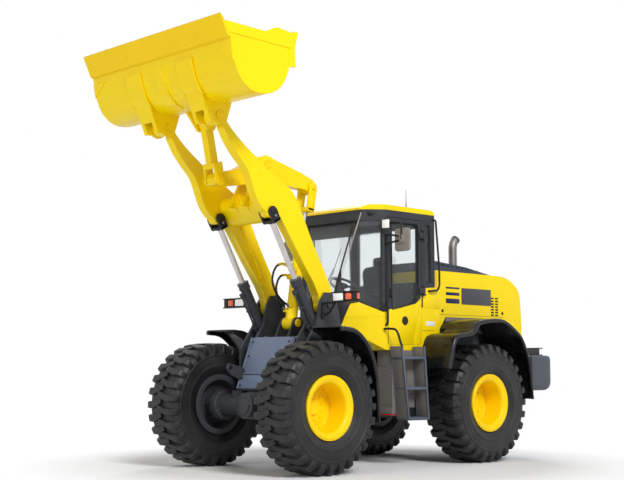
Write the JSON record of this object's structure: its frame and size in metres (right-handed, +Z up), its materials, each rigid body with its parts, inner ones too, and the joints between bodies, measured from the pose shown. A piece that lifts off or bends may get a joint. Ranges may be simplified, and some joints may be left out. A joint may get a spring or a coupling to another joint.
{
  "type": "articulated wheel loader",
  "caption": "Articulated wheel loader with glazed cab, raised lift arms with a Z-bar linkage, wide digging bucket, ribbed rubber tyres and rear engine hood; steers, lifts, tilts and rolls",
  "frame": {"origin": "on the ground under the articulation pin, which is also the middle of the machine's length and width", "axes": "+X forward to the bucket, +Y to the machine's left, +Z up"},
  "size_m": [6.21, 2.55, 4.8556],
  "materials": {
    "yellow_paint": "gloss",
    "grey_paint": "satin",
    "black_paint": "satin",
    "black_plastic": "matte",
    "chrome_rod": "polished",
    "bare_steel": "brushed",
    "tyre_rubber": "matte",
    "window_glass": "clear",
    "iron_grey": "matte",
    "seat_cloth": "woven",
    "lamp_clear": "gloss",
    "lamp_red": "gloss"
  },
  "bodies": {
    "rear_unit": {"rear_frame": "grey_paint", "rear_axle": "grey_paint", "counterweight": "iron_grey", "engine_hood": "yellow_paint", "hood_grilles": "black_paint", "engine_block": "iron_grey", "exhaust_stack": "black_paint", "cab_base": "yellow_paint", "cab_shell": "grey_paint", "cab_roof": "yellow_paint", "cab_glass": "window_glass", "operator_seat": "seat_cloth", "steering_console": "black_plastic", "steps_and_rails": "black_paint", "side_boxes": "grey_paint", "rear_fenders": "black_plastic", "rear_lamps": "lamp_red", "cab_fittings": "black_plastic"},
    "door": {"cab_door": "grey_paint", "door_glass": "window_glass"},
    "front_unit": {"front_frame": "grey_paint", "front_axle": "grey_paint", "front_fenders": "black_plastic", "head_lamps": "lamp_clear"},
    "boom": {"lift_arms": "yellow_paint"},
    "bucket_pin_body": {"bucket_pins": "bare_steel"},
    "bucket_body": {"bucket": "yellow_paint", "cutting_edge": "bare_steel"},
    "crank_pin_body": {"bell_crank_pin": "bare_steel"},
    "crank_body": {"bell_crank": "yellow_paint"},
    "link_pin_body": {"link_pin": "bare_steel"},
    "link_body": {"bucket_link": "yellow_paint"},
    "tilt_pin_body": {"tilt_base_pin": "bare_steel"},
    "tilt_barrel_body": {"tilt_barrel": "yellow_paint"},
    "tilt_rod_body": {"tilt_rod": "chrome_rod"},
    "lift_barrel_body_left": {"lift_barrel_left": "grey_paint"},
    "lift_rod_body_left": {"lift_rod_left": "chrome_rod"},
    "steer_barrel_body_left": {"steer_barrel_left": "grey_paint"},
    "steer_rod_body_left": {"steer_rod_left": "chrome_rod"},
    "lift_barrel_body_right": {"lift_barrel_right": "grey_paint"},
    "lift_rod_body_right": {"lift_rod_right": "chrome_rod"},
    "steer_barrel_body_right": {"steer_barrel_right": "grey_paint"},
    "steer_rod_body_right": {"steer_rod_right": "chrome_rod"},
    "wheel_front_left_body": {"rim_front_left": "yellow_paint", "tyre_front_left": "tyre_rubber"},
    "wheel_front_right_body": {"rim_front_right": "yellow_paint", "tyre_front_right": "tyre_rubber"},
    "wheel_rear_left_body": {"rim_rear_left": "yellow_paint", "tyre_rear_left": "tyre_rubber"},
    "wheel_rear_right_body": {"rim_rear_right": "yellow_paint", "tyre_rear_right": "tyre_rubber"}
  },
  "joints": [
    {"name": "articulation_steer", "type": "hinge", "parent": "rear_unit", "child": "front_unit", "pos_m": [0, 0, 0.88], "axis": [0, 0, 1], "range_deg": [-40, 40]},
    {"name": "cab_door_hinge", "type": "hinge", "parent": "rear_unit", "child": "door", "pos_m": [-0.68, 0.744, 2.25], "axis": [0, 0, 1], "range_deg": [0, 90]},
    {"name": "boom_lift", "type": "hinge", "parent": "front_unit", "child": "boom", "pos_m": [0.82, 0, 1.93], "axis": [0, -1, 0], "range_deg": [-87, 0]},
    {"name": "bucket_pin_turn", "type": "hinge", "parent": "boom", "child": "bucket_pin_body", "pos_m": [2.53, 0, 3.96], "axis": [0, -1, 0], "range_deg": [-1, 61]},
    {"name": "bucket_tilt", "type": "hinge", "parent": "bucket_pin_body", "child": "bucket_body", "pos_m": [2.53, 0, 3.96], "axis": [0, 1, 0], "range_deg": [0, 105]},
    {"name": "bell_crank_pin_turn", "type": "hinge", "parent": "boom", "child": "crank_pin_body", "pos_m": [1.42, 0, 3.6], "axis": [0, -1, 0], "range_deg": [-20, 1]},
    {"name": "bell_crank_swing", "type": "hinge", "parent": "crank_pin_body", "child": "crank_body", "pos_m": [1.42, 0, 3.6], "axis": [0, -1, 0], "range_deg": [-1, 50]},
    {"name": "link_pin_turn", "type": "hinge", "parent": "crank_body", "child": "link_pin_body", "pos_m": [2.12, 0, 3.35], "axis": [0, -1, 0], "range_deg": [-8, 1]},
    {"name": "bucket_link_swing", "type": "hinge", "parent": "link_pin_body", "child": "link_body", "pos_m": [2.12, 0, 3.35], "axis": [0, -1, 0], "range_deg": [-105, 1]},
    {"name": "tilt_pin_turn", "type": "hinge", "parent": "front_unit", "child": "tilt_pin_body", "pos_m": [0.92, 0, 1.72], "axis": [0, -1, 0], "range_deg": [-85, 1]},
    {"name": "tilt_barrel_swing", "type": "hinge", "parent": "tilt_pin_body", "child": "tilt_barrel_body", "pos_m": [0.92, 0, 1.72], "axis": [0, -1, 0], "range_deg": [-17, 1]},
    {"name": "tilt_rod_slide", "type": "slide", "parent": "tilt_barrel_body", "child": "tilt_rod_body", "axis": [-0.1644, 0, 0.9864], "range_m": [-0.57, 0.01]},
    {"name": "lift_barrel_swing_left", "type": "hinge", "parent": "front_unit", "child": "lift_barrel_body_left", "pos_m": [0.8, 0.47, 1.36], "axis": [0, -1, 0], "range_deg": [-76, 1]},
    {"name": "lift_rod_slide_left", "type": "slide", "parent": "lift_barrel_body_left", "child": "lift_rod_body_left", "axis": [0.4941, 0, 0.8694], "range_m": [-0.73, 0.01]},
    {"name": "lift_barrel_swing_right", "type": "hinge", "parent": "front_unit", "child": "lift_barrel_body_right", "pos_m": [0.8, -0.47, 1.36], "axis": [0, -1, 0], "range_deg": [-76, 1]},
    {"name": "lift_rod_slide_right", "type": "slide", "parent": "lift_barrel_body_right", "child": "lift_rod_body_right", "axis": [0.4941, 0, 0.8694], "range_m": [-0.73, 0.01]},
    {"name": "steer_barrel_swing_left", "type": "hinge", "parent": "rear_unit", "child": "steer_barrel_body_left", "pos_m": [-0.48, 0.33, 0.88], "axis": [0, 0, 1], "range_deg": [-16, 16]},
    {"name": "steer_rod_slide_left", "type": "slide", "parent": "steer_barrel_body_left", "child": "steer_rod_body_left", "axis": [1, 0, 0], "range_m": [-0.24, 0.24]},
    {"name": "steer_barrel_swing_right", "type": "hinge", "parent": "rear_unit", "child": "steer_barrel_body_right", "pos_m": [-0.48, -0.33, 0.88], "axis": [0, 0, 1], "range_deg": [-16, 16]},
    {"name": "steer_rod_slide_right", "type": "slide", "parent": "steer_barrel_body_right", "child": "steer_rod_body_right", "axis": [1, 0, 0], "range_m": [-0.24, 0.24]},
    {"name": "wheel_front_left", "type": "hinge", "parent": "front_unit", "child": "wheel_front_left_body", "pos_m": [1.42, 0.965, 0.745], "axis": [0, 1, 0], "continuous": true},
    {"name": "wheel_front_right", "type": "hinge", "parent": "front_unit", "child": "wheel_front_right_body", "pos_m": [1.42, -0.965, 0.745], "axis": [0, 1, 0], "continuous": true},
    {"name": "wheel_rear_left", "type": "hinge", "parent": "rear_unit", "child": "wheel_rear_left_body", "pos_m": [-1.42, 0.965, 0.745], "axis": [0, 1, 0], "continuous": true},
    {"name": "wheel_rear_right", "type": "hinge", "parent": "rear_unit", "child": "wheel_rear_right_body", "pos_m": [-1.42, -0.965, 0.745], "axis": [0, 1, 0], "continuous": true}
  ],
  "couplings": [
    {"joint": "bucket_pin_turn", "follows": "boom_lift", "ratio": -0.68966},
    {"joint": "bell_crank_pin_turn", "follows": "boom_lift", "ratio": 0.15866},
    {"joint": "bell_crank_swing", "follows": "bucket_tilt", "ratio": 0.32959},
    {"joint": "link_pin_turn", "follows": "boom_lift", "ratio": 0.068101},
    {"joint": "bucket_link_swing", "follows": "bucket_tilt", "ratio": -0.66956},
    {"joint": "tilt_pin_turn", "follows": "boom_lift", "ratio": 0.93688},
    {"joint": "tilt_barrel_swing", "follows": "bucket_tilt", "ratio": -0.07794},
    {"joint": "tilt_rod_slide", "follows": "bucket_tilt", "m_per_rad": -0.2349},
    {"joint": "lift_barrel_swing_left", "follows": "boom_lift", "ratio": 0.85153},
    {"joint": "lift_rod_slide_left", "follows": "boom_lift", "m_per_rad": 0.47028},
    {"joint": "lift_barrel_swing_right", "follows": "boom_lift", "ratio": 0.85153},
    {"joint": "lift_rod_slide_right", "follows": "boom_lift", "m_per_rad": 0.47028},
    {"joint": "steer_barrel_swing_left", "follows": "articulation_steer", "ratio": 0.36757},
    {"joint": "steer_rod_slide_left", "follows": "articulation_steer", "m_per_rad": -0.32209},
    {"joint": "steer_barrel_swing_right", "follows": "articulation_steer", "ratio": 0.36757},
    {"joint": "steer_rod_slide_right", "follows": "articulation_steer", "m_per_rad": 0.32209}
  ]
}
